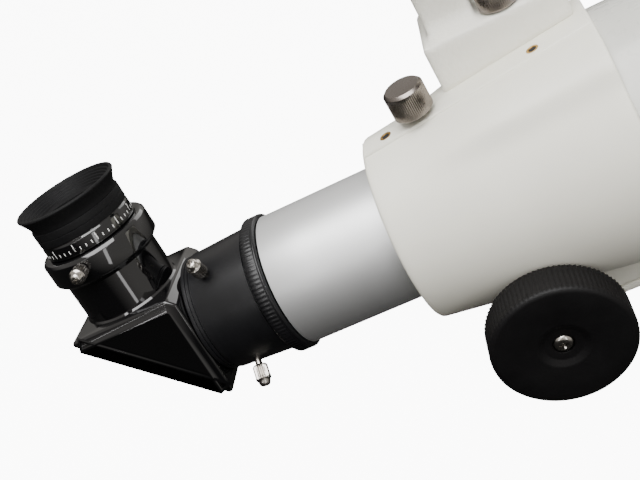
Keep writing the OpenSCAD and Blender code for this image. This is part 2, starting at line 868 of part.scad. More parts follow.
main_tube();
dew_shield();
objective_cell();
objective_lenses();
focuser_housing();
pinion_cover();
tube_screws();
drawtube();
drawtube_rack();
pinion_shaft();
focus_knob_near();
focus_knob_far();
knob_screws();
lock_screw();
tension_screws();
adapter_body();
adapter_ring();
adapter_screw_upper();
adapter_screw_lower();
diagonal_housing();
diagonal_prism();
diagonal_barrel();
eyepiece_holder();
eyepiece_screw();
eyepiece_barrel();
eyepiece_body();
eyepiece_lenses();
eyecup();
finder_bracket();
finder_nuts();
finder_tube();
finder_lenses();
finder_screws();
tube_saddle();
altitude_shaft();
altitude_knob_near();
altitude_knob_far();
yoke();
azimuth_knob();
tripod_hub();
hinge_bolts();
spreader_hub();
leg_rails(1);  // leg_rails_1
leg_rails(2);  // leg_rails_2
leg_rails(3);  // leg_rails_3
leg_fittings(1);  // leg_fittings_1
leg_fittings(2);  // leg_fittings_2
leg_fittings(3);  // leg_fittings_3
leg_lower(1);  // leg_lower_1
leg_lower(2);  // leg_lower_2
leg_lower(3);  // leg_lower_3
leg_foot(1);  // leg_foot_1
leg_foot(2);  // leg_foot_2
leg_foot(3);  // leg_foot_3
leg_knob(1);  // leg_knob_1
leg_knob(2);  // leg_knob_2
leg_knob(3);  // leg_knob_3
brace(1);  // brace_1
brace(2);  // brace_2
brace(3);  // brace_3
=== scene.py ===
"""Refracting telescope on a folding tripod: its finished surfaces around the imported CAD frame."""

import json
import math

import bmesh
import bpy
from bpy.props import FloatProperty, FloatVectorProperty, IntProperty, PointerProperty
from mathutils import Matrix, Vector


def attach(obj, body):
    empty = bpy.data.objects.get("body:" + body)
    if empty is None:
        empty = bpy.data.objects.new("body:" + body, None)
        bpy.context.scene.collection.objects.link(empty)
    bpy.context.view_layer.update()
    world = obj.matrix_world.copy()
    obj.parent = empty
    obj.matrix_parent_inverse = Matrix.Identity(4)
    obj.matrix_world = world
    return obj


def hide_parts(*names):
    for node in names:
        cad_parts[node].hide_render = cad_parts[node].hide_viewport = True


bl_info = {
    "name": "Telescope on tripod",
    "version": (1, 0, 0),
    "blender": (4, 5, 0),
    "location": "View3D > Sidebar > Telescope",
    "description": "Builds the finished surfaces of a refracting telescope around its CAD frame",
    "category": "Object",
}

MM = 0.001
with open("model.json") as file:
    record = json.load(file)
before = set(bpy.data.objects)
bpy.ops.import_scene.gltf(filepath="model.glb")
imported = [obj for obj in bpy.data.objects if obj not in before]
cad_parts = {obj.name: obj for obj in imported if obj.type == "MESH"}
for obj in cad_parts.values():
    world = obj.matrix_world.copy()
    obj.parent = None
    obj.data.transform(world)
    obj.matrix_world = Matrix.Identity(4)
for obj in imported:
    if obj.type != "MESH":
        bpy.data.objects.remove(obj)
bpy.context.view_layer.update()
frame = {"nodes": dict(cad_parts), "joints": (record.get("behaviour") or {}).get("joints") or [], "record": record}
JOINTS = {joint["name"]: joint for joint in frame["joints"]}
BODY_OF = {node: body for body, nodes in frame["record"]["behaviour"]["bodies"].items() for node in nodes}

# Sizes along the tube, in millimetres from the drawtube's end
DRAW_R, DRAW_BORE_R, DRAW_LEN = 23.6, 22.0, 150.0
MOUTH_X, REAR_X, SEAT_X = 44.5, 125.0, 112.0
MOUTH_R, REAR_R, TUBE_R = 32.6, 42.0, 40.0
TUBE_FRONT, DEW_FRONT, DEW_R = 560.0, 690.0, 48.0
LAND_HALF, LAND_MOUTH_Z, LAND_REAR_Z = 4.25, 33.5, 42.1
LOCK_X, LOCK_HEAD_Z, LOCK_R, LOCK_H = 66.0, 38.2, 6.65, 9.6
LAND_TILT = 6.1                             # degrees that the land rises towards the rear
GROOVE_HALF, GROOVE_Z = 5.3, -28.2          # rack groove in the housing's bore
SHOULDER_AT = 31.0                          # degrees either side of the top
SHOULDER_OUTER, SHOULDER_INNER = 5.5, 13.0  # how wide it fades, in degrees
SHOULDER_FROM, SHOULDER_RUN = 56.0, 36.0    # where it starts to rise, and over what length
TENSION_X = (54.1, 106.1)
PINION_X, PINION_Z = 79.0, -31.7
KNOB_IN, KNOB_OUT, KNOB_R = 35.8, 49.1, 23.0
FACE_X, RING_X = -31.7, -6.0
EYE_X = -53.25
APEX_Z, EYE_SCREW_Z = 19.7, 42.0
FINDER_Y, FINDER_Z, FINDER_BACK, FINDER_LEN = 20.0, 104.0, 56.0, 150.0
NUT_X, NUT_Y, FOOT_TOP = 103.0, (12.5, 27.5), 52.5
CLAMP_R, CLAMP_L = 2.75, 7.6
BARREL_R = 15.875                           # standard push fit, 31.75 mm across
AZIMUTH_KNOB_OUT = 30.0                     # clamp joint's distance from the pivot's axis
LEG_KNOB_DOWN = 355.0                       # from a leg's hinge along the leg


# Frames and shapes ---------------------------------------------------------

def local_frame(origin, x, z):
    """Matrix from millimetres along a piece's own x, y and z to metres in the row frame."""
    facing = Matrix((x, z.cross(x), z)).transposed().to_4x4()
    return Matrix.Translation(origin) @ facing @ Matrix.Scale(MM, 4)


def joint_axis(name):
    return Vector(JOINTS[name]["axis"]).normalized()


AXIS = joint_axis("focus_travel")
EYE_SPOT = Vector(JOINTS["diagonal_turn"]["pos_m"])
TUBE = local_frame(EYE_SPOT - AXIS * EYE_X * MM, AXIS, AXIS.cross(Vector((0, 1, 0))))
EYE = local_frame(EYE_SPOT, AXIS, joint_axis("eyepiece_lift"))
Z_TO_X = Matrix.Rotation(math.pi / 2, 4, "Y")


def leg_frame(number):
    """Leg's own frame: z up along the leg from its hinge, x outwards."""
    up = -joint_axis(f"leg_extend_{number}")
    across = joint_axis(f"leg_fold_{number}")
    return local_frame(Vector(JOINTS[f"leg_fold_{number}"]["pos_m"]), across.cross(up), up)


def move(x=0.0, y=0.0, z=0.0):
    return Matrix.Translation((x, y, z))


def turn(degrees, axis):
    return Matrix.Rotation(math.radians(degrees), 4, axis)


def land_height(x):
    """Height of the housing's sloping land at a place along the tube."""
    return LAND_MOUTH_Z + (LAND_REAR_Z - LAND_MOUTH_Z) * (x - MOUTH_X) / (REAR_X - MOUTH_X)


def lathe(outline, steps=96):
    """Turns (radius, height) points about Z; a third number rounds that corner by so much.
    An outline that starts and ends off the axis is closed into a ring."""
    bm = bmesh.new()
    verts = [bm.verts.new((point[0], 0, point[1])) for point in outline]
    for pair in zip(verts, verts[1:]):
        bm.edges.new(pair)
    if outline[0][0] > 0 and outline[-1][0] > 0:
        bm.edges.new((verts[-1], verts[0]))
    for radius in sorted({point[2] for point in outline if len(point) > 2}):
        corners = [vert for vert, point in zip(verts, outline) if point[2:] == (radius,)]
        bmesh.ops.bevel(bm, geom=corners, offset=radius, segments=3, profile=0.5,
                        affect="VERTICES", material=-1)
    bmesh.ops.spin(bm, geom=bm.verts[:] + bm.edges[:], cent=(0, 0, 0), axis=(0, 0, 1),
                   angle=2 * math.pi, steps=steps, use_merge=True)
    bmesh.ops.remove_doubles(bm, verts=bm.verts, dist=1e-4)
    bmesh.ops.recalc_face_normals(bm, faces=bm.faces)
    return bm


def turned(outline, steps=96):
    """Turns (place along the tube, radius) points about the tube's axis."""
    bm = lathe([(point[1], point[0], *point[2:]) for point in outline], steps)
    return at(bm, Z_TO_X)


def at(bm, matrix):
    bmesh.ops.transform(bm, matrix=matrix, verts=bm.verts)
    return bm


def block(low, high, edge=0.0, segments=2):
    """Box between two corners with rounded edges."""
    bm = bmesh.new()
    low, high = Vector(low), Vector(high)
    bmesh.ops.create_cube(bm, size=1.0)
    bmesh.ops.scale(bm, vec=high - low, verts=bm.verts)
    bmesh.ops.translate(bm, vec=(low + high) / 2, verts=bm.verts)
    if edge:
        bmesh.ops.bevel(bm, geom=bm.edges[:], offset=edge, segments=segments, profile=0.5,
                        affect="EDGES", material=-1)
    return bm


def joined(*parts):
    """Several shapes as one."""
    whole = bmesh.new()
    for part in parts:
        step = bpy.data.meshes.new("step")
        part.to_mesh(step)
        part.free()
        whole.from_mesh(step)
        bpy.data.meshes.remove(step)
    return whole


def flute(bm, count, depth, inside, low, high):
    """Presses even grooves into the outside of a turned shape, between two heights."""
    for vert in bm.verts:
        reach = math.hypot(vert.co.x, vert.co.y)
        if reach > inside and low - 1e-4 <= vert.co.z <= high + 1e-4:
            wave = 0.5 - 0.5 * math.cos(count * math.atan2(vert.co.y, vert.co.x))
            vert.co.x *= 1 - depth * wave / reach
            vert.co.y *= 1 - depth * wave / reach
    return bm


def cross_recess(bm, top, arm, width, depth):
    """Closes a turned shape's open top with a face that has a cross-shaped recess."""
    flat = [face for face in bm.faces if all(abs(vert.co.z - top) < 1e-3 for vert in face.verts)]
    bmesh.ops.delete(bm, geom=flat, context="FACES")
    rim = [edge for edge in bm.edges if edge.is_boundary]
    loose = [vert for vert in bm.verts if not vert.link_faces]
    bmesh.ops.delete(bm, geom=loose, context="VERTS")
    half = width / 2
    corners = [
        turn(90 * k, "Z") @ Vector((x, y, top))
        for k in range(4) for x, y in ((arm, -half), (arm, half), (half, half))
    ]
    ring = [bm.verts.new(corner) for corner in corners]
    cross = [bm.edges.new((ring[k - 1], ring[k])) for k in range(len(ring))]
    bmesh.ops.triangle_fill(bm, use_beauty=True, edges=[edge for edge in rim if edge.is_valid] + cross)
    walls = bmesh.ops.extrude_edge_only(bm, edges=cross)["geom"]
    lower = [item for item in walls if isinstance(item, bmesh.types.BMVert)]
    for vert in lower:
        vert.co = (vert.co.x * 0.7, vert.co.y * 0.7, top - depth)
    bmesh.ops.contextual_create(bm, geom=lower)
    bmesh.ops.recalc_face_normals(bm, faces=bm.faces)
    return bm


def cad_copy(node, flat=1.0):
    """Merged copy of a CAD node's mesh, in metres, with its flat faces made whole."""
    bm = bmesh.new()
    bm.from_mesh(frame["nodes"][node].data)
    bmesh.ops.remove_doubles(bm, verts=bm.verts, dist=2e-6)
    bmesh.ops.dissolve_limit(bm, angle_limit=math.radians(flat), verts=bm.verts, edges=bm.edges)
    bmesh.ops.recalc_face_normals(bm, faces=bm.faces)
    return bm


def piece(name, bm, place, nodes, finish, edge=0.0, crease=35.0, painted_shade_finish=None):
    """Makes a shape a finished object that stands for its CAD nodes, with its edges rounded by edge."""
    at(bm, place)
    bmesh.ops.recalc_face_normals(bm, faces=bm.faces)
    mesh = bpy.data.meshes.new(name)
    bm.to_mesh(mesh)
    bm.free()
    mesh.materials.append(surface_of(finish))
    # A second finish goes on faces of index 1; the tension screws use it as painted shade in their socket holes.
    if painted_shade_finish:
        mesh.materials.append(surface_of(painted_shade_finish))
    mesh.polygons.foreach_set("use_smooth", [True] * len(mesh.polygons))
    mesh.set_sharp_from_angle(angle=math.radians(crease))
    shape = bpy.data.objects.new(name, mesh)
    bpy.context.scene.collection.objects.link(shape)
    if edge:
        rounding = shape.modifiers.new("Rounded edges", "BEVEL")
        rounding.width = edge * MM
        rounding.segments = 2
        rounding.limit_method = "ANGLE"
        rounding.angle_limit = math.radians(crease)
        rounding.harden_normals = True
    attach(shape, BODY_OF[nodes[0]])
    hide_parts(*nodes)
    return shape


def softened(node, finish, edge, name=None):
    """Piece with a CAD node's own shape and its edges rounded."""
    return piece(name or node.replace("_", " ").title().replace(" ", "_"), cad_copy(node),
                 Matrix.Identity(4), (node,), finish, edge, crease=40.0)


def keep(node, finish):
    """Leaves a CAD node's shape as it is and gives it a finish."""
    slots = frame["nodes"][node].data.materials
    slots.clear()
    slots.append(surface_of(finish))


# Finishes ------------------------------------------------------------------

def linear(code):
    """sRGB hex colour as linear RGBA."""
    parts = [int(code[k:k + 2], 16) / 255 for k in (1, 3, 5)]
    return (*[c / 12.92 if c <= 0.04045 else ((c + 0.055) / 1.055) ** 2.4 for c in parts], 1.0)


def add(tree, kind, inputs=None, **settings):
    """Adds one shader node with its settings; an input is a plain value or another node's output."""
    node = tree.nodes.new(kind)
    for name, value in settings.items():
        setattr(node, name, value)
    for key, value in (inputs or {}).items():
        if isinstance(value, bpy.types.NodeSocket):
            tree.links.new(value, node.inputs[key])
        else:
            node.inputs[key].default_value = value
    return node


def layered(name, colour, rough, size, relief, metallic=0.0, tone=None, patch=14.0, stretch=None,
            place=None, **sockets):
    """A finish with fine grain (size and relief in millimetres) and broad patches that vary gloss
    between two values and tone between two colours. stretch draws the grain out along the axes
    of place, for turned and brushed metal. Where real grain is finer than about 0.4 mm, as in
    anodising and plating, it is drawn that coarse so that it shows."""
    material = bpy.data.materials.new(name)
    material.use_nodes = True
    tree = material.node_tree
    tree.nodes.clear()
    where = add(tree, "ShaderNodeTexCoord").outputs["Object"]
    along = where
    if stretch:
        along = add(tree, "ShaderNodeMapping", {
            "Vector": where, "Rotation": place.to_euler(), "Scale": stretch,
        }, vector_type="TEXTURE").outputs[0]
    grain = add(tree, "ShaderNodeTexNoise", {"Vector": along, "Scale": 1 / (size * MM), "Detail": 3.0})
    bump = add(tree, "ShaderNodeBump", {"Height": grain.outputs[0], "Distance": relief * MM})
    broad = add(tree, "ShaderNodeTexNoise", {"Vector": where, "Scale": 1 / (patch * MM), "Detail": 4.0})
    mixed = add(tree, "ShaderNodeMath", {0: grain.outputs[0], 1: broad.outputs[0]}, operation="ADD")
    gloss = add(tree, "ShaderNodeMapRange", {
        "Value": mixed.outputs[0], "From Min": 0.7, "From Max": 1.3, "To Min": rough[0], "To Max": rough[1],
    })
    shade = add(tree, "ShaderNodeMix", {
        0: broad.outputs[0], 6: colour, 7: tone or [c * 0.9 for c in colour[:3]] + [1.0],
    }, data_type="RGBA")
    shader = add(tree, "ShaderNodeBsdfPrincipled", {
        "Base Color": shade.outputs[2], "Roughness": gloss.outputs[0], "Metallic": metallic,
        "Normal": bump.outputs[0], **sockets,
    })
    add(tree, "ShaderNodeOutputMaterial", {"Surface": shader.outputs[0]})
    return material


def colours():
    return bpy.context.scene.telescope_colours


def white_enamel(name):
    """Stoved semi-gloss enamel on aluminium tube: sharp but slightly rippled reflections. Its light grey colour
    and grey tone are painted shade, standing in for the shade the tube lies in behind the focuser.
    """
    return layered(name, colours().enamel, (0.24, 0.32), 3.5, 0.02, tone=linear("#bfbfb9"), patch=60,
                   **{"Coat Weight": 0.25, "Coat Roughness": 0.12})


def powder_paint(name):
    """Satin powder coat on die-cast alloy: soft wide highlights and a fine pebbled grain."""
    return layered(name, colours().paint, (0.4, 0.5), 0.55, 0.012, tone=linear("#dfddd1"), patch=22)


def rough_cast_paint(name):
    """The paint over a sand-rough casting, so the bracket looks coarser; its colour is made lighter than the
    housing's paint as painted light, standing in for the stronger light the bracket catches.
    """
    return layered(name, linear("#f5f3ea"), (0.45, 0.6), 1.5, 0.3, tone=linear("#eceadf"), patch=9)


def turned_aluminium(name):
    """Clear anodised aluminium tube: fine rings from turning that spread its highlights lengthwise."""
    return layered(name, linear("#e0e1e1"), (0.4, 0.48), 0.6, 0.003, 0.8, linear("#d6d7d8"), 40,
                   stretch=(1, 400, 400), place=TUBE)


def knurled_nickel(name):
    """Satin nickel plate on brass thumb parts: warm grey, blurred reflections, slight handling wear."""
    return layered(name, linear("#8c8580"), (0.24, 0.36), 0.4, 0.005, 1.0, linear("#7a736d"), 5)


def polished_nickel(name):
    """Polished nickel plate on small screws: clear bright reflections."""
    return layered(name, linear("#bdb9b4"), (0.18, 0.28), 0.6, 0.002, 1.0, linear("#a9a49d"), 4)


def turned_brass(name):
    """Bare turned brass: yellow metal, a little dulled."""
    return layered(name, linear("#c9a461"), (0.2, 0.34), 0.4, 0.004, 1.0, linear("#a9854a"), 3)


def satin_anodise(name):
    """Black anodised alloy: near black with a soft metallic sheen and fine turning rings."""
    return layered(name, colours().anodise, (0.3, 0.42), 0.45, 0.006, 0.2, linear("#161618"), 12,
                   stretch=(1, 400, 400), place=TUBE, **{"Specular IOR Level": 0.4})


def gloss_plastic(name):
    """Polished injection-moulded ABS: deep black with mirror-like reflections, very slightly wavy."""
    return layered(name, colours().gloss, (0.05, 0.1), 6.0, 0.015, tone=linear("#0a0a0b"), patch=18,
                   **{"IOR": 1.54, "Coat Weight": 0.4, "Coat Roughness": 0.04})


def grained_plastic(name):
    """Moulded black plastic with a fine spark-eroded grain, as on hand knobs."""
    return layered(name, linear("#070607"), (0.48, 0.6), 0.5, 0.02, tone=linear("#0c0b0c"), patch=8,
                   **{"Specular IOR Level": 0.2})


def moulded_rubber(name):
    """Matt moulded rubber: dark grey, dry and dusty in patches."""
    return layered(name, colours().rubber, (0.55, 0.68), 0.7, 0.015, tone=linear("#101011"), patch=5,
                   **{"Specular IOR Level": 0.15})


def chromed_barrel(name):
    """Chrome-plated push-fit barrel: mirror finish with fine scratches along it from use."""
    return layered(name, linear("#d6d8da"), (0.06, 0.18), 0.4, 0.002, 1.0, linear("#c6c8ca"), 9,
                   stretch=(20, 1, 1), place=TUBE)


def coated_glass(name):
    """Optical crown glass with an anti-reflection coating: clear, with a faint green-violet cast."""
    return layered(name, linear("#dfeee6"), (0.01, 0.02), 20.0, 0.0005, tone=linear("#e6e4f2"), patch=30,
                   **{"IOR": 1.52, "Transmission Weight": 0.9, "Specular Tint": linear("#a9d8bd")})


def flat_black(name):
    """Dead-matt optical black inside the cell: gives back almost no light."""
    return layered(name, linear("#111112"), (0.8, 0.95), 0.6, 0.03, tone=linear("#19191a"), patch=10)


def crinkle_paint(name):
    """Black crinkle paint on die-cast alloy: tight wrinkles about a millimetre apart."""
    return layered(name, linear("#1d1e20"), (0.38, 0.55), 1.0, 0.09, tone=linear("#292a2c"), patch=16)


def moulded_nylon(name):
    """Glass-filled nylon mouldings on the legs: dull black with a dry grain."""
    return layered(name, linear("#1f2022"), (0.5, 0.65), 0.6, 0.03, tone=linear("#2c2d2f"), patch=12)


def zinc_plate(name):
    """Bright zinc-plated steel: blue-white, with a cloudy bloom."""
    return layered(name, linear("#b4b7bb"), (0.25, 0.42), 0.5, 0.006, 1.0, linear("#9ea1a4"), 6)


def white_ink(name):
    """Thick pad-printed ink: plain matt white."""
    return layered(name, linear("#e4e4e2"), (0.5, 0.6), 0.3, 0.004, tone=linear("#d8d8d6"), patch=3)


def brushed_alloy(name):
    """Brushed and anodised leg extrusion: long fine scratches along each leg."""
    return layered(name, linear("#bfc2c5"), (0.28, 0.42), 0.5, 0.012, 1.0, linear("#aeb1b4"), 40,
                   stretch=(1, 1, 60), place=leg_frame(int(name[-1])))


MAKERS = {
    maker.__name__: maker for maker in (
        white_enamel, powder_paint, rough_cast_paint, turned_aluminium, knurled_nickel, polished_nickel,
        turned_brass, satin_anodise, gloss_plastic, grained_plastic, moulded_rubber, chromed_barrel,
        coated_glass, flat_black, crinkle_paint, moulded_nylon, zinc_plate, white_ink, brushed_alloy,
    )
}


def surface_of(name):
    """A finish by name, made once; a leg's own alloy ends in the leg's number."""
    return bpy.data.materials.get(name) or MAKERS[name.rstrip("_123")](name)


# Sizes and colours that a user would change ---------------------------------

class TelescopeSizes(bpy.types.PropertyGroup):
    knob_ribs: IntProperty(name="Knob ribs", description="Ribs round each focus knob", default=90, min=24)
    ring_ridges: IntProperty(name="Ring ridges", description="Milled ridges round the adapter ring",
                             default=100, min=40)
    knurl_count: IntProperty(name="Knurl", description="Knurl marks round each thumb nut", default=64, min=24)
    shoulder: FloatProperty(name="Shoulder", default=3.0, min=0.0, max=4.0,
                            description="Height of the housing's soft shoulders, in millimetres")
    casting: FloatProperty(name="Casting cell", description="Cell size that rounds the cast bracket",
                           default=0.0008, unit="LENGTH")
    floor_width: FloatProperty(name="Floor", description="Width of the studio floor", default=40.0,
                               unit="LENGTH")
    lens: FloatProperty(name="Lens", description="Focal length of the camera, in millimetres", default=57.858)


class TelescopeColours(bpy.types.PropertyGroup):
    # The tube enamel's default grey is painted shade: darker than the white housing, to stand in for the shade on
    # the tube behind the focuser.
    enamel: FloatVectorProperty(name="Tube enamel", description="Colour of the main tube", size=4,
                                subtype="COLOR", default=linear("#c8c8c1"), min=0, max=1)
    paint: FloatVectorProperty(name="Housing paint", description="Colour of the focuser", size=4,
                               subtype="COLOR", default=linear("#ebe9dd"), min=0, max=1)
    anodise: FloatVectorProperty(name="Adapter", description="Colour of the black adapter", size=4,
                                 subtype="COLOR", default=linear("#0f0f11"), min=0, max=1)
    gloss: FloatVectorProperty(name="Gloss black", description="Colour of the diagonal", size=4,
                               subtype="COLOR", default=linear("#070708"), min=0, max=1)
    rubber: FloatVectorProperty(name="Rubber", description="Colour of the eyecup and the feet", size=4,
                                subtype="COLOR", default=linear("#0b0b0c"), min=0, max=1)


def sizes():
    return bpy.context.scene.telescope_sizes


# Pieces --------------------------------------------------------------------

class TELESCOPE_OT_stage(bpy.types.Operator):
    """Sets the camera, the pale floor and the soft studio light"""
    bl_idname = "telescope.stage"
    bl_label = "Stage"

    def execute(self, context):
        scene = context.scene
        camera = bpy.data.objects.new("Camera", bpy.data.cameras.new("Camera"))
        scene.collection.objects.link(camera)
        camera.data.lens = sizes().lens
        camera.data.sensor_width = 36
        camera.data.clip_start = 0.01
        camera.data.dof.use_dof = False
        camera.location = (-0.2603, -0.2868, 0.8448)
        camera.rotation_euler = (math.radians(55.3), 0, math.radians(-0.46))
        scene.camera = camera

        bm = bmesh.new()
        bmesh.ops.create_grid(bm, x_segments=1, y_segments=1, size=sizes().floor_width / 2)
        mesh = bpy.data.meshes.new("Floor")
        bm.to_mesh(mesh)
        bm.free()
        floor = bpy.data.objects.new("Floor", mesh)
        scene.collection.objects.link(floor)
        # The paper shows bright without throwing light up on to the telescope
        floor.visible_diffuse = floor.visible_glossy = False
        paper = bpy.data.materials.new("studio_paper")
        paper.use_nodes = True
        shader = paper.node_tree.nodes["Principled BSDF"]
        shader.inputs["Base Color"].default_value = linear("#f4f4f3")
        shader.inputs["Roughness"].default_value = 0.9
        shader.inputs["Emission Color"].default_value = linear("#ffffff")
        shader.inputs["Emission Strength"].default_value = 9.0
        mesh.materials.append(paper)

        # Name, place, what it faces, width, height, power
        for name, spot, target, width, height, power in (
            ("Overhead", (-0.75, -0.45, 2.05), (-0.2, 0, 0.65), 1.6, 1.3, 58),
            ("Window_left", (-1.0, -1.35, 1.3), (-0.3, 0, 0.65), 0.05, 1.3, 2.4),
            ("Window_middle", (-0.84, -1.45, 1.3), (-0.3, 0, 0.65), 0.03, 1.3, 1.5),
            ("Window_right", (0.45, -1.6, 1.3), (-0.25, 0, 0.65), 0.2, 1.4, 4),
            ("Back_fill", (0.4, 1.8, 1.6), (0, 0, 0.6), 1.5, 1.2, 12),
        ):
            lamp = bpy.data.lights.new(name, "AREA")
            lamp.shape = "RECTANGLE"
            lamp.size, lamp.size_y, lamp.energy = width, height, power
            light = bpy.data.objects.new(name, lamp)
            scene.collection.objects.link(light)
            light.location = spot
            light.rotation_euler = (Vector(target) - Vector(spot)).to_track_quat("-Z", "Y").to_euler()

        world = bpy.data.worlds.new("Studio")
        world.use_nodes = True
        scene.world = world
        tree = world.node_tree
        ray = add(tree, "ShaderNodeTexCoord").outputs["Generated"]
        height = add(tree, "ShaderNodeSeparateXYZ", {0: ray})
        glow = add(tree, "ShaderNodeMapRange", {
            "Value": height.outputs["Z"], "From Min": -0.22, "From Max": 0.15, "To Min": 0.03, "To Max": 0.75,
        })
        tree.links.new(glow.outputs[0], tree.nodes["Background"].inputs["Strength"])
        tree.nodes["Background"].inputs["Color"].default_value = linear("#f4f0ea")
        return {"FINISHED"}


class TELESCOPE_OT_optical_tube(bpy.types.Operator):
    """Builds the main tube, the dew shield, the lens cell and the lenses"""
    bl_idname = "telescope.optical_tube"
    bl_label = "Optical tube"

    def execute(self, context):
        inner = TUBE_R - 1.2
        piece("Main_Tube", turned([
            (SEAT_X, inner), (SEAT_X, TUBE_R, 0.3), *[(x, TUBE_R) for x in range(150, 540, 40)],
            (TUBE_FRONT, TUBE_R, 0.3), (TUBE_FRONT, inner),
        ], 160), TUBE, ("main_tube",), "white_enamel")
        piece("Dew_Shield", turned([
            (TUBE_FRONT - 20, DEW_R - 2), (TUBE_FRONT - 20, DEW_R, 0.5), (600, DEW_R), (650, DEW_R),
            (DEW_FRONT - 7, DEW_R), (DEW_FRONT - 6.5, DEW_R - 0.5), (DEW_FRONT - 6, DEW_R),
            (DEW_FRONT, DEW_R, 0.6), (DEW_FRONT, DEW_R - 1.5, 0.3), (TUBE_FRONT + 18, DEW_R - 1.5),
            (TUBE_FRONT + 18, DEW_R - 2),
        ], 160), TUBE, ("dew_shield",), "white_enamel")
        # Cell with a retaining ring and two baffle steps in front of the lens
        piece("Objective_Cell", turned([
            (TUBE_FRONT - 16, TUBE_R, 0.4), (TUBE_FRONT, TUBE_R), (TUBE_FRONT, 35), (TUBE_FRONT + 2, 35),
            (TUBE_FRONT + 2, 36), (TUBE_FRONT + 13, 36), (TUBE_FRONT + 13, 34.6, 0.3),
            (TUBE_FRONT + 14.4, 34.6, 0.3), (TUBE_FRONT + 14.6, 36.4), (TUBE_FRONT + 16, 37.4, 0.3),
            (TUBE_FRONT + 16, 39), (TUBE_FRONT + 18, 39.6, 0.3), (TUBE_FRONT + 18, 46, 0.3),
            (TUBE_FRONT - 16, 46, 0.4),
        ], 128), TUBE, ("objective_cell",), "flat_black")
        keep("objective_lenses", "coated_glass")
        return {"FINISHED"}


class TELESCOPE_OT_focuser(bpy.types.Operator):
    """Builds the focuser housing with its shoulders, land and pinion box, and its cover"""
    bl_idname = "telescope.focuser"
    bl_label = "Focuser housing"

    def execute(self, context):
        slope = (REAR_R - MOUTH_R) / (REAR_X - MOUTH_X)
        stations = [MOUTH_X + 3 + k * (REAR_X - MOUTH_X - 6) / 26 for k in range(27)]
        skin = turned([
            (MOUTH_X, DRAW_R + 1.6, 0.5), (MOUTH_X, MOUTH_R, 1.4),
            *[(x, MOUTH_R + slope * (x - MOUTH_X)) for x in stations],
            (REAR_X, REAR_R, 0.9), (REAR_X, TUBE_R), (SEAT_X, TUBE_R), (SEAT_X, 37), (110, 37),
            (109, DRAW_R + 0.05), (97, DRAW_R + 0.05), (95, 31), (72, 30), (62, 27), (60, DRAW_R + 0.05),
            (MOUTH_X + 2.4, DRAW_R + 0.05), (MOUTH_X + 1.8, DRAW_R + 1.6),
        ], 192)
        for vert in skin.verts:
            x, y, z = vert.co
            reach = math.hypot(y, z)
            # Groove under the drawtube for the rack
            if z < 0 and abs(y) < GROOVE_HALF and reach < DRAW_R + 2:
                vert.co.z = GROOVE_Z
            # Soft shoulders either side of the land, rising towards the rear
            elif reach > MOUTH_R + slope * (x - MOUTH_X) - 0.5 and x > 60:
                off = abs(math.degrees(math.atan2(y, z))) - SHOULDER_AT
                off /= SHOULDER_OUTER if off > 0 else SHOULDER_INNER
                rise = min(1.0, max(0.0, (x - SHOULDER_FROM) / SHOULDER_RUN))
                swell = sizes().shoulder * math.exp(-off * off / 2) * rise * rise * (3 - 2 * rise)
                swell *= min(1.0, max(0.0, (abs(y) - LAND_HALF + 1) / 6))
                vert.co.y += y / reach * swell
                vert.co.z += z / reach * swell

        # Land with its two screw holes sunk into the top
        land = bmesh.new()
        front, back = MOUTH_X + 0.8, REAR_X - 1.0
        corners = [land.verts.new((x, y, 0)) for x, y in (
            (front, -LAND_HALF), (back, -LAND_HALF), (back, LAND_HALF), (front, LAND_HALF))]
        outer = [land.edges.new((corners[k - 1], corners[k])) for k in range(4)]
        holes = []
        for x in TENSION_X:
            hole = bmesh.ops.create_circle(land, segments=32, radius=2.05)["verts"]
            bmesh.ops.translate(land, vec=(x, 0, 0), verts=hole)
            holes += list({edge for vert in hole for edge in vert.link_edges})
        bmesh.ops.triangle_fill(land, use_beauty=True, edges=outer + holes)
        sunk = bmesh.ops.extrude_edge_only(land, edges=holes)["geom"]
        sunk = [item for item in sunk if isinstance(item, bmesh.types.BMVert)]
        bmesh.ops.translate(land, vec=(0, 0, -5), verts=sunk)
        bmesh.ops.holes_fill(land, edges=[
            edge for edge in land.edges if edge.is_boundary and all(vert in sunk for vert in edge.verts)])
        sides = bmesh.ops.extrude_edge_only(land, edges=outer)["geom"]
        bmesh.ops.translate(land, vec=(0, 0, -7), verts=[
            item for item in sides if isinstance(item, bmesh.types.BMVert)])
        bmesh.ops.bevel(land, geom=outer, offset=0.7, segments=3, profile=0.5, affect="EDGES", material=-1)
        for vert in land.verts:
            vert.co.z += land_height(vert.co.x)

        # Pinion box with rounded edges, running up into the housing
        box = block((63, -18.2, -44.0), (118, 18.2, -20), 1.6, 3)
        whole = joined(skin, land, box)
        piece("Focuser_Housing", whole, TUBE, ("focuser_housing",), "powder_paint", crease=50)
        piece("Pinion_Cover", block((63.2, -18, -47.1), (117.8, 18, -44.15), 0.7, 2), TUBE,
              ("pinion_cover",), "powder_paint")
        softened("tube_screws", "zinc_plate", 0.3)
        return {"FINISHED"}


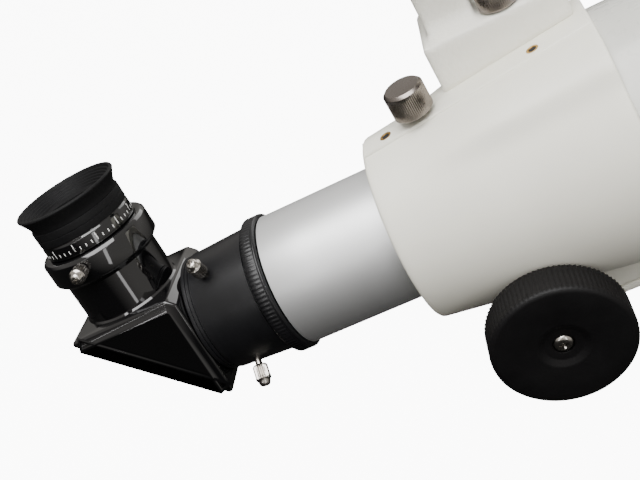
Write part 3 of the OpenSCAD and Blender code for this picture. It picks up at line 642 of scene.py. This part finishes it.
class TELESCOPE_OT_focuser_screws(bpy.types.Operator):
    """Builds the knurled lock screw and the brass tension screws on the land"""
    bl_idname = "telescope.focuser_screws"
    bl_label = "Lock and tension screws"

    def execute(self, context):
        low = DRAW_R + 0.6 - LOCK_HEAD_Z
        screw = lathe([
            (0, low), (2, low), (2, -1.7), (3.4, -1.7, 0.2), (3.4, 0), (6.2, 0), (LOCK_R, 0.4, 0.1),
            (LOCK_R, 2.8), (LOCK_R, 5.0), (LOCK_R, 7.0), (LOCK_R, LOCK_H - 1.0, 0.15),
            (LOCK_R - 1.0, LOCK_H, 0.2), (0, LOCK_H),
        ], sizes().knurl_count * 4)
        flute(screw, sizes().knurl_count, 0.22, LOCK_R - 0.3, 0.9, LOCK_H - 1.3)
        piece("Lock_Screw", screw, TUBE @ move(LOCK_X, 0, LOCK_HEAD_Z), ("lock_screw",), "knurled_nickel")

        screws = []
        for x in TENSION_X:
            top = land_height(x)
            tip = DRAW_R + 0.6 - top
            screw = lathe([
                (0, tip), (2.0, tip), (2.0, 0.0, 0.08), (1.3, 0.0, 0.08), (1.25, -0.2), (0, -0.2),
            ], 48)
            # The shallow recess in each screw's head gets flat black: painted shade standing in for the dark hex
            # socket hole.
            for face in screw.faces:
                face.material_index = int(abs(face.calc_center_median().z + 0.2) < 0.01)
            screws.append(at(screw, move(x, 0, top) @ turn(-LAND_TILT, "Y")))
        piece("Tension_Screws", joined(*screws), TUBE, ("tension_screws",), "turned_brass",
              painted_shade_finish="flat_black")
        return {"FINISHED"}


class TELESCOPE_OT_focus_knobs(bpy.types.Operator):
    """Builds the ribbed focus knobs, their screws and the pinion shaft"""
    bl_idname = "telescope.focus_knobs"
    bl_label = "Focus knobs"

    def execute(self, context):
        screws = []
        for side, label in ((1, "near"), (-1, "far")):
            place = move(PINION_X, 0, PINION_Z) @ turn(90 * side, "X")
            knob = lathe([
                (0, 28.5), (6.4, 28.5), (7, 29.1), (7, KNOB_IN - 0.8), (8, KNOB_IN, 0.3),
                (KNOB_R - 1.5, KNOB_IN, 0.4), (KNOB_R, KNOB_IN + 1.5), (KNOB_R, 40), (KNOB_R, 43.5),
                (KNOB_R, KNOB_OUT - 1.8), (KNOB_R - 0.25, KNOB_OUT - 0.9), (KNOB_R - 0.8, KNOB_OUT - 0.25),
                (KNOB_R - 1.8, KNOB_OUT), (14, KNOB_OUT - 0.5),
                (8.4, KNOB_OUT - 0.7, 0.4), (6.2, KNOB_OUT - 1.8, 0.3), (3.5, KNOB_OUT - 1.9, 0.1),
                (3.5, KNOB_OUT - 3.1), (0, KNOB_OUT - 3.1),
            ], sizes().knob_ribs * 4)
            flute(knob, sizes().knob_ribs, 0.4, KNOB_R - 0.2, KNOB_IN + 1, KNOB_OUT - 1.7)
            piece(f"Focus_Knob_{label}", knob, TUBE @ place, (f"focus_knob_{label}",),
                  "grained_plastic", crease=60)
            head = KNOB_OUT - 3.0
            screw = cross_recess(lathe([
                (0, head - 1), (1.4, head - 1), (1.4, head), (3.2, head, 0.15), (3.2, head + 0.7, 0.2),
                (2.6, head + 1.35), (1.9, head + 1.6), (0, head + 1.6),
            ], 48), head + 1.6, 1.5, 0.6, 0.9)
            screws.append(at(screw, place))
        piece("Knob_Screws", joined(*screws), TUBE, ("knob_screws",), "polished_nickel")
        softened("pinion_shaft", "zinc_plate", 0.0)
        return {"FINISHED"}


def thumbscrew(shank, neck):
    """Small knurled clamp screw with a domed end and a cross recess; its seat is at height 0."""
    top = neck + CLAMP_L
    screw = lathe([
        (0, -shank), (1.2, -shank, 0.2), (1.2, neck), (CLAMP_R - 0.55, neck, 0.1),
        (CLAMP_R - 0.1, neck + 0.5),
        (CLAMP_R - 0.1, neck + 1.6), (CLAMP_R - 0.1, neck + 2.8), (CLAMP_R - 0.1, neck + 4.2),
        (CLAMP_R, neck + 4.4, 0.1), (CLAMP_R, neck + 5.3, 0.2), (CLAMP_R - 0.45, neck + 5.6),
        (CLAMP_R - 0.7, neck + 6.5), (1.75, top - 0.35), (1.3, top), (0, top),
    ], 80)
    flute(screw, 20, 0.4, CLAMP_R - 0.4, neck + 0.4, neck + 5.2)
    return cross_recess(screw, top, 1.1, 0.45, 0.6)


class TELESCOPE_OT_adapter(bpy.types.Operator):
    """Builds the black adapter on the drawtube, its milled ring and its two clamp screws"""
    bl_idname = "telescope.adapter"
    bl_label = "Adapter"

    def execute(self, context):
        body = turned([
            (FACE_X + 0.3, 15.95), (FACE_X + 0.3, 21.4, 0.35), (FACE_X + 1.7, 21.4), (FACE_X + 1.85, 21.0),
            (FACE_X + 2.1, 21.0), (FACE_X + 2.25, 21.45), (FACE_X + 3.1, 21.5), (FACE_X + 3.25, 21.1),
            (FACE_X + 3.5, 21.1), (FACE_X + 3.7, 21.8, 0.1), (RING_X - 0.9, 22.8), (RING_X - 0.7, 22.5),
            (RING_X, 22.5), (RING_X, 22), (10, 22, 0.3), (10, 20, 0.3), (0, 20), (-4, 15.95),
        ], 128)
        piece("Adapter_Body", body, TUBE, ("adapter_body",), "satin_anodise", crease=40)
        ring = lathe([
            (22.02, 0), (24.3, 0, 0.2), (25, 0.7), (25, 2.2), (25, 3.9), (24.75, 4.15), (24.75, 4.35),
            (25, 4.55, 0.1), (25, 5.2, 0.3), (24.2, 5.6, 0.2), (22.02, 5.6),
        ], sizes().ring_ridges * 4)
        flute(ring, sizes().ring_ridges, 0.26, 24.9, 0.6, 3.95)
        piece("Adapter_Ring", at(ring, Z_TO_X), TUBE @ move(RING_X), ("adapter_ring",),
              "satin_anodise", crease=50)
        for label, x, angle, neck in (("upper", -21.5, 22, 1.0), ("lower", -20.5, 130, 1.6)):
            place = TUBE @ turn(angle, "X") @ move(x, 0, 22.6)
            piece(f"Adapter_Screw_{label}", thumbscrew(6, neck), place, (f"adapter_screw_{label}",),
                  "polished_nickel", crease=50)
        return {"FINISHED"}


class TELESCOPE_OT_drawtube(bpy.types.Operator):
    """Builds the drawtube and its rack"""
    bl_idname = "telescope.drawtube"
    bl_label = "Drawtube and rack"

    def execute(self, context):
        piece("Drawtube", turned([
            (0, DRAW_BORE_R, 0.2), (0, DRAW_R, 0.25), *[(x, DRAW_R) for x in range(15, 150, 15)],
            (DRAW_LEN, DRAW_R, 0.4), (DRAW_LEN, DRAW_BORE_R, 0.2),
        ], 160), TUBE, ("drawtube",), "turned_aluminium")
        softened("drawtube_rack", "zinc_plate", 0.0)
        return {"FINISHED"}


class TELESCOPE_OT_diagonal(bpy.types.Operator):
    """Builds the glossy diagonal with its framed side plates, and its barrel and prism"""
    bl_idname = "telescope.diagonal"
    bl_label = "Diagonal"

    def execute(self, context):
        bm = cad_copy("diagonal_housing")
        at(bm, EYE.inverted())
        bm.normal_update()
        rims = [edge for edge in bm.edges if edge.is_manifold
                and math.degrees(edge.calc_face_angle(0.0)) > 40
                and all(abs(vert.co.y) > 20.7 or abs(vert.co.x) > 21.4
                        or vert.co.z > APEX_Z - 3.1 or vert.co.x + vert.co.z < -1.5 for vert in edge.verts)
                and min(math.hypot(vert.co.x, vert.co.y) for vert in edge.verts) > 16
                and min(math.hypot(vert.co.z, vert.co.y) for vert in edge.verts) > 16.2]
        bmesh.ops.bevel(bm, geom=rims, offset=1.0, segments=3, profile=0.5, affect="EDGES", material=-1)
        plates = [face for face in bm.faces
                  if abs(face.normal.y) > 0.99 and abs(face.calc_center_median().y) > 20]
        # Raised bead round each side plate
        for thickness, depth in ((2.4, 0.0), (0.35, 0.35), (0.5, 0.0), (0.35, -0.35)):
            bmesh.ops.inset_region(bm, faces=plates, thickness=thickness, depth=depth,
                                   use_even_offset=True, use_boundary=True)
        piece("Diagonal_Housing", bm, EYE, ("diagonal_housing",), "gloss_plastic", crease=40)
        keep("diagonal_prism", "coated_glass")
        piece("Diagonal_Barrel", turned([
            (FACE_X - 2.8, 14.4), (FACE_X - 2.8, BARREL_R), (-30, BARREL_R), (-8, BARREL_R), (-5.5, BARREL_R, 0.3),
            (-5, 15.3), (-5, 14.4),
        ], 96), TUBE, ("diagonal_barrel",), "chromed_barrel")
        return {"FINISHED"}


class TELESCOPE_OT_eyepiece(bpy.types.Operator):
    """Builds the eyepiece holder, its clamp screw and the eyepiece with its rubber cup"""
    bl_idname = "telescope.eyepiece"
    bl_label = "Holder and eyepiece"

    def execute(self, context):
        piece("Eyepiece_Holder", lathe([
            (15.93, APEX_Z), (17.9, APEX_Z), (17.3, APEX_Z + 0.6), (17.3, 27), (17.3, 34.4), (19.2, 36, 0.2),
            (20, 36.8, 0.2), (20, 40), (20, 44.4, 0.25), (19.1, 45.5, 0.2), (15.93, 45.5, 0.25),
        ], 128), EYE, ("eyepiece_holder",), "gloss_plastic", crease=40)
        place = EYE @ move(0, -20, EYE_SCREW_Z) @ turn(90, "X")
        piece("Eyepiece_Screw", thumbscrew(3.6, 0.4), place, ("eyepiece_screw",),
              "polished_nickel", crease=50)
        piece("Eyepiece_Barrel", lathe([
            (14.3, 23.7), (15.5, 23.7), (BARREL_R, 24.1), (BARREL_R, 32), (15.6, 32.4, 0.2), (15.6, 36, 0.2),
            (BARREL_R, 36.4), (BARREL_R, 45.5), (14.3, 45.5), (14.3, 40), (14.3, 30),
        ], 96), EYE, ("eyepiece_barrel",), "chromed_barrel")

        # Glossy band under the rubber, a fine groove above and below it
        piece("Eyepiece_Body", lathe([
            (11, 45.6), (16.5, 45.6, 0.2), (16.8, 45.95), (16.8, 46.35), (16.6, 46.45), (16.6, 46.6),
            (16.8, 46.7), (16.8, 50.3, 0.2), (16.4, 51, 0.1), (16.3, 53), (16.4, 56.3), (11, 56.3),
            (10.4, 55.2), (10.4, 50.5), (11, 49.6),
        ], 128), EYE, ("eyepiece_body",), "gloss_plastic", crease=30)
        marks = bmesh.new()
        for count, low, high in ((48, 47.2, 48.3), (12, 47.2, 50.0)):
            tick = bmesh.ops.create_cube(marks, size=1.0)["verts"]
            bmesh.ops.scale(marks, vec=(0.08, 0.32, high - low), verts=tick)
            bmesh.ops.translate(marks, vec=(16.82, 0, (low + high) / 2), verts=tick)
            faces = list({face for vert in tick for face in vert.link_faces})
            bmesh.ops.spin(marks, geom=tick + faces, cent=(0, 0, 0), axis=(0, 0, 1),
                           angle=2 * math.pi * (count - 1) / count, steps=count - 1, use_duplicate=True)
        piece("Eyepiece_Scale", marks, EYE, ("eyepiece_body",), "white_ink")

        # Rubber grip and flared cup; the cup's inside has six moulded steps
        steps = []
        for k in range(6):
            reach, height = 17.3 - k * 0.78, 62.7 - k * 0.78
            steps += [(reach, height), (reach - 0.28, height - 0.62)]
        piece("Eyecup", lathe([
            (11, 56.35), (16.4, 56.35, 0.15), (16.35, 57.5), (16.9, 59.2), (18.2, 61.6), (18.7, 62.5, 0.2),
            (18.4, 63.1, 0.2), (17.5, 63.1, 0.2), *steps, (12.4, 57.9, 0.2), (11, 57.7, 0.2),
        ], 128), EYE, ("eyecup",), "moulded_rubber", crease=30)
        grip = lathe([
            (16.38, 51.3), (16.85, 51.3, 0.15), (16.85, 53.9), (16.7, 54), (16.7, 54.2), (16.85, 54.3),
            (16.85, 56.7, 0.15), (16.38, 56.7),
        ], 128)
        piece("Eyepiece_Grip", grip, EYE, ("eyepiece_body",), "moulded_rubber", crease=50)
        keep("eyepiece_lenses", "coated_glass")
        return {"FINISHED"}


class TELESCOPE_OT_finder(bpy.types.Operator):
    """Builds the finder's cast bracket, its nuts, tube, lenses and aiming screws"""
    bl_idname = "telescope.finder"
    bl_label = "Finder"

    def execute(self, context):
        bracket = piece("Finder_Bracket", cad_copy("finder_bracket", 0.1), Matrix.Identity(4),
                        ("finder_bracket",), "rough_cast_paint", crease=180)
        cells = bracket.modifiers.new("Casting", "REMESH")
        cells.mode = "VOXEL"
        cells.voxel_size = sizes().casting
        cells.use_smooth_shade = True
        easing = bracket.modifiers.new("Rounded casting", "SMOOTH")
        easing.factor, easing.iterations = 0.6, 9

        nuts = []
        for y in NUT_Y:
            nut = lathe([
                (0, -20), (2, -20), (2, 0), (5.7, 0, 0.2), (6.7, 1.0, 0.15), (6.7, 3), (6.7, 5), (6.7, 7),
                (6.7, 9.0, 0.15), (5.7, 10, 0.2), (3.0, 10, 0.2), (2.7, 9.4), (2, 9.4), (1.7, 9.8), (0, 9.8),
            ], sizes().knurl_count * 4)
            nuts.append(at(flute(nut, sizes().knurl_count, 0.22, 6.4, 1.2, 8.8), move(NUT_X, y, FOOT_TOP)))
        piece("Finder_Nuts", joined(*nuts), TUBE, ("finder_nuts",), "knurled_nickel", crease=45)

        spot = TUBE @ move(0, FINDER_Y, FINDER_Z)
        back, front = FINDER_BACK, FINDER_BACK + FINDER_LEN
        piece("Finder_Tube", turned([
            (back, 6, 0.2), (back, 12, 0.6), (back + 3, 12.3), (back + 8, 12.5, 0.4), (back + 10, 10),
            (back + 16, 10), (back + 18, 13, 0.4), (back + 60, 13), (front - 34, 13, 2.0),
            (front - 22, 18, 2.0), (front - 8, 18), (front - 7.6, 17.7), (front - 7.2, 18), (front, 18, 0.4),
            (front, 16, 0.3), (front - 22, 16), (front - 34, 11), (back + 18, 11), (back + 8, 6),
        ], 96), spot, ("finder_tube",), "satin_anodise", crease=40)
        keep("finder_lenses", "coated_glass")
        screws = []
        for angle in (0, 120, 240):
            screw = lathe([
                (0, -9.5), (1.5, -9.5, 0.3), (1.5, 0), (3.4, 0, 0.2), (4, 0.6), (4, 2.4), (4, 4.4),
                (3.4, 5.6, 0.4), (0, 6),
            ], 96)
            flute(screw, 24, 0.35, 3.7, 0.5, 4.5)
            screws.append(at(screw, turn(angle, "X") @ move(87, 0, 22.5)))
        piece("Finder_Screws", joined(*screws), spot, ("finder_screws",), "knurled_nickel", crease=50)
        return {"FINISHED"}


class TELESCOPE_OT_mount(bpy.types.Operator):
    """Builds the saddle, the yoke, the hub and their knobs and bolts"""
    bl_idname = "telescope.mount"
    bl_label = "Mount"

    def execute(self, context):
        softened("tube_saddle", "crinkle_paint", 0.8)
        softened("altitude_shaft", "zinc_plate", 0.4)
        softened("yoke", "crinkle_paint", 0.8)
        softened("tripod_hub", "crinkle_paint", 0.8)
        softened("hinge_bolts", "zinc_plate", 0.5)
        for label in ("near", "far"):
            softened(f"altitude_knob_{label}", "grained_plastic", 0.9)
        side = joint_axis("azimuth_clamp_turn")
        place = local_frame(Vector(JOINTS["azimuth_clamp_turn"]["pos_m"]) - side * AZIMUTH_KNOB_OUT * MM,
                            Vector((0, 0, 1)), side)
        knob = lathe([
            (0, 9.3), (3, 9.3, 0.3), (3, 28), (6.4, 28, 0.4), (7, 28.6), (7, 33), (10.6, 33, 0.4),
            (11.5, 34), (11.5, 37), (11.5, 40), (11.5, 42.6), (10.8, 43.6, 0.4), (7, 44), (0, 43.4),
        ], 96)
        piece("Azimuth_Knob", flute(knob, 12, 1.6, 10.7, 33.9, 42.7), place, ("azimuth_knob",),
              "grained_plastic", crease=50)
        return {"FINISHED"}


class TELESCOPE_OT_tripod(bpy.types.Operator):
    """Builds the three legs, their fittings, feet and knobs, and the folding spreader"""
    bl_idname = "telescope.tripod"
    bl_label = "Tripod"

    def execute(self, context):
        for leg in (1, 2, 3):
            softened(f"leg_rails_{leg}", f"brushed_alloy_{leg}", 0.9)
            softened(f"leg_fittings_{leg}", "moulded_nylon", 0.8)
            softened(f"leg_lower_{leg}", f"brushed_alloy_{leg}", 0.7)
            softened(f"leg_foot_{leg}", "moulded_rubber", 1.2)
            softened(f"brace_{leg}", "zinc_plate", 0.5)
            place = leg_frame(leg) @ move(0, 0, -LEG_KNOB_DOWN) @ Z_TO_X
            knob = lathe([
                (0, 7.1), (2.5, 7.1), (2.5, 12.4), (5.5, 12.4, 0.3), (6, 13), (6, 16), (9.2, 16, 0.3),
                (10, 16.8), (10, 19.5), (10, 22.5), (10, 24.8), (9.3, 25.7, 0.3), (6, 26), (0, 25.4),
            ], 96)
            piece(f"Leg_Knob_{leg}", flute(knob, 8, 1.8, 9.3, 16.7, 25), place, (f"leg_knob_{leg}",),
                  "grained_plastic", crease=50)
        softened("spreader_hub", "moulded_nylon", 0.8)
        return {"FINISHED"}


class TELESCOPE_PT_panel(bpy.types.Panel):
    """Sizes, colours and the pieces in the order they are made"""
    bl_label = "Telescope"
    bl_idname = "TELESCOPE_PT_panel"
    bl_space_type = "VIEW_3D"
    bl_region_type = "UI"
    bl_category = "Telescope"

    def draw(self, context):
        for group in (context.scene.telescope_sizes, context.scene.telescope_colours):
            for name in group.__annotations__:
                self.layout.prop(group, name)
        for step in STEPS:
            self.layout.operator(step.bl_idname)


STEPS = (
    TELESCOPE_OT_stage, TELESCOPE_OT_optical_tube, TELESCOPE_OT_focuser, TELESCOPE_OT_focuser_screws,
    TELESCOPE_OT_focus_knobs, TELESCOPE_OT_drawtube, TELESCOPE_OT_adapter, TELESCOPE_OT_diagonal,
    TELESCOPE_OT_eyepiece, TELESCOPE_OT_finder, TELESCOPE_OT_mount, TELESCOPE_OT_tripod,
)
CLASSES = (TelescopeSizes, TelescopeColours, *STEPS, TELESCOPE_PT_panel)


def register():
    for group in CLASSES:
        bpy.utils.register_class(group)
    bpy.types.Scene.telescope_sizes = PointerProperty(type=TelescopeSizes)
    bpy.types.Scene.telescope_colours = PointerProperty(type=TelescopeColours)


def unregister():
    del bpy.types.Scene.telescope_colours
    del bpy.types.Scene.telescope_sizes
    for group in reversed(CLASSES):
        bpy.utils.unregister_class(group)


def main():
    register()
    for step in STEPS:
        getattr(bpy.ops.telescope, step.bl_idname.split(".")[1])()


if __name__ == "__main__":
    main()
